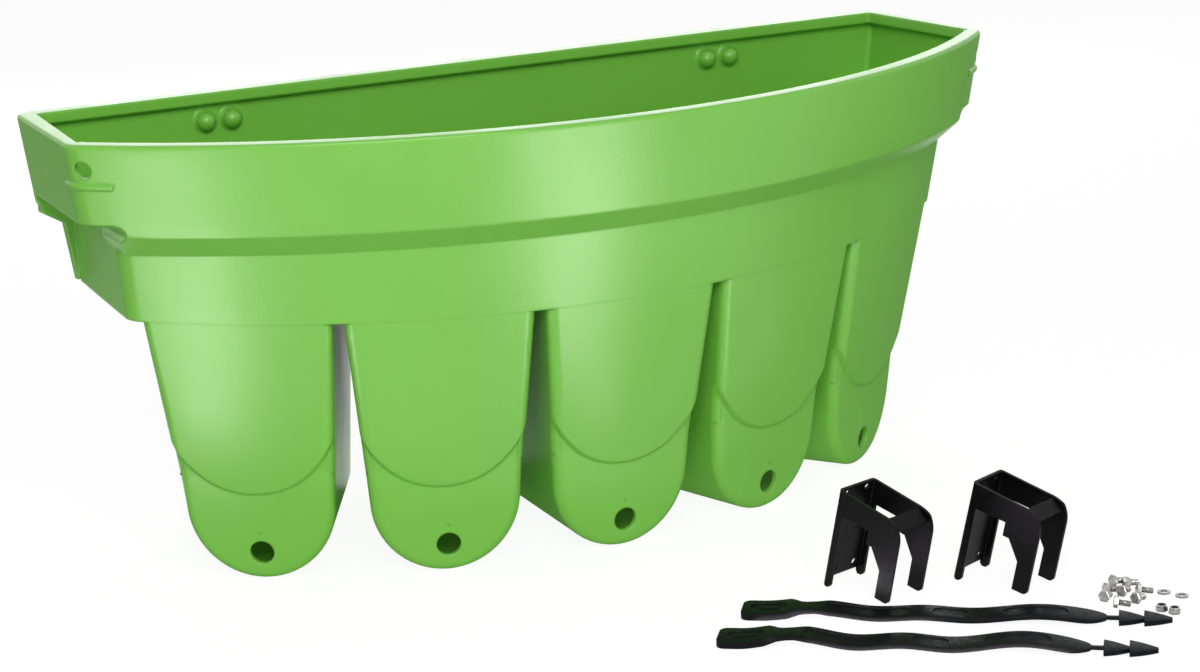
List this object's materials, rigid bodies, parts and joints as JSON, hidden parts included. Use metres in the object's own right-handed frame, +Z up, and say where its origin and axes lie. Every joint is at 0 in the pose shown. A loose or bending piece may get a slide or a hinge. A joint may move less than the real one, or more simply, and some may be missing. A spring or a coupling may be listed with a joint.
{
  "type": "calf feeding station",
  "caption": "Open D-shaped calf feeding trough with fanned round-bottomed compartments and teat holes, laid out with its hanging brackets, rubber straps and small fasteners.",
  "frame": {"origin": "lower middle of the trough's flat back wall, at floor level", "axes": "+X along the back wall to the right as seen from the front, +Y back through the wall, away from the bowed front, +Z up"},
  "size_m": [1.0196, 0.8485, 0.457],
  "materials": {
    "trough_plastic": "smooth rotomoulded, leaf green, semi-gloss",
    "insert_brass": "hexagonal outside, tapped",
    "bracket_paint": "black, fine texture powder coat",
    "strap_rubber": "moulded, matt black",
    "zinc_steel": "zinc plated",
    "nut_nylon": "dark nylon"
  },
  "bodies": {
    "trough": {"trough": "trough_plastic", "insert_1": "insert_brass", "insert_2": "insert_brass", "insert_3": "insert_brass", "insert_4": "insert_brass", "insert_5": "insert_brass", "insert_6": "insert_brass", "insert_7": "insert_brass", "insert_8": "insert_brass"},
    "bracket_1": {"bracket_1": "bracket_paint"},
    "bracket_2": {"bracket_2": "bracket_paint"},
    "strap_1": {"strap_1": "strap_rubber"},
    "strap_2": {"strap_2": "strap_rubber"},
    "bolt_1": {"bolt_1": "zinc_steel"},
    "bolt_2": {"bolt_2": "zinc_steel"},
    "bolt_3": {"bolt_3": "zinc_steel"},
    "bolt_4": {"bolt_4": "zinc_steel"},
    "bolt_5": {"bolt_5": "zinc_steel"},
    "bolt_6": {"bolt_6": "zinc_steel"},
    "bolt_7": {"bolt_7": "zinc_steel"},
    "bolt_8": {"bolt_8": "zinc_steel"},
    "washer_1": {"washer_1": "zinc_steel"},
    "washer_2": {"washer_2": "zinc_steel"},
    "lock_nut_1": {"lock_nut_1": "zinc_steel", "nut_ring_1": "nut_nylon"},
    "lock_nut_2": {"lock_nut_2": "zinc_steel", "nut_ring_2": "nut_nylon"}
  },
  "joints": [
    {"name": "bracket_1_lift", "type": "slide", "parent": "trough", "child": "bracket_1", "axis": [0, 0, 1], "range_m": [0, 0.15]},
    {"name": "bracket_2_lift", "type": "slide", "parent": "trough", "child": "bracket_2", "axis": [0, 0, 1], "range_m": [0, 0.15]},
    {"name": "strap_1_lift", "type": "slide", "parent": "trough", "child": "strap_1", "axis": [0, 0, 1], "range_m": [0, 0.1]},
    {"name": "strap_2_lift", "type": "slide", "parent": "trough", "child": "strap_2", "axis": [0, 0, 1], "range_m": [0, 0.1]},
    {"name": "bolt_1_lift", "type": "slide", "parent": "trough", "child": "bolt_1", "axis": [0, 0, 1], "range_m": [0, 0.08]},
    {"name": "bolt_2_lift", "type": "slide", "parent": "trough", "child": "bolt_2", "axis": [0, 0, 1], "range_m": [0, 0.08]},
    {"name": "bolt_3_lift", "type": "slide", "parent": "trough", "child": "bolt_3", "axis": [0, 0, 1], "range_m": [0, 0.08]},
    {"name": "bolt_4_lift", "type": "slide", "parent": "trough", "child": "bolt_4", "axis": [0, 0, 1], "range_m": [0, 0.08]},
    {"name": "bolt_5_lift", "type": "slide", "parent": "trough", "child": "bolt_5", "axis": [0, 0, 1], "range_m": [0, 0.08]},
    {"name": "bolt_6_lift", "type": "slide", "parent": "trough", "child": "bolt_6", "axis": [0, 0, 1], "range_m": [0, 0.08]},
    {"name": "bolt_7_lift", "type": "slide", "parent": "trough", "child": "bolt_7", "axis": [0, 0, 1], "range_m": [0, 0.08]},
    {"name": "bolt_8_lift", "type": "slide", "parent": "trough", "child": "bolt_8", "axis": [0, 0, 1], "range_m": [0, 0.08]},
    {"name": "washer_1_lift", "type": "slide", "parent": "trough", "child": "washer_1", "axis": [0, 0, 1], "range_m": [0, 0.08]},
    {"name": "washer_2_lift", "type": "slide", "parent": "trough", "child": "washer_2", "axis": [0, 0, 1], "range_m": [0, 0.08]},
    {"name": "lock_nut_1_lift", "type": "slide", "parent": "trough", "child": "lock_nut_1", "axis": [0, 0, 1], "range_m": [0, 0.08]},
    {"name": "lock_nut_2_lift", "type": "slide", "parent": "trough", "child": "lock_nut_2", "axis": [0, 0, 1], "range_m": [0, 0.08]}
  ]
}
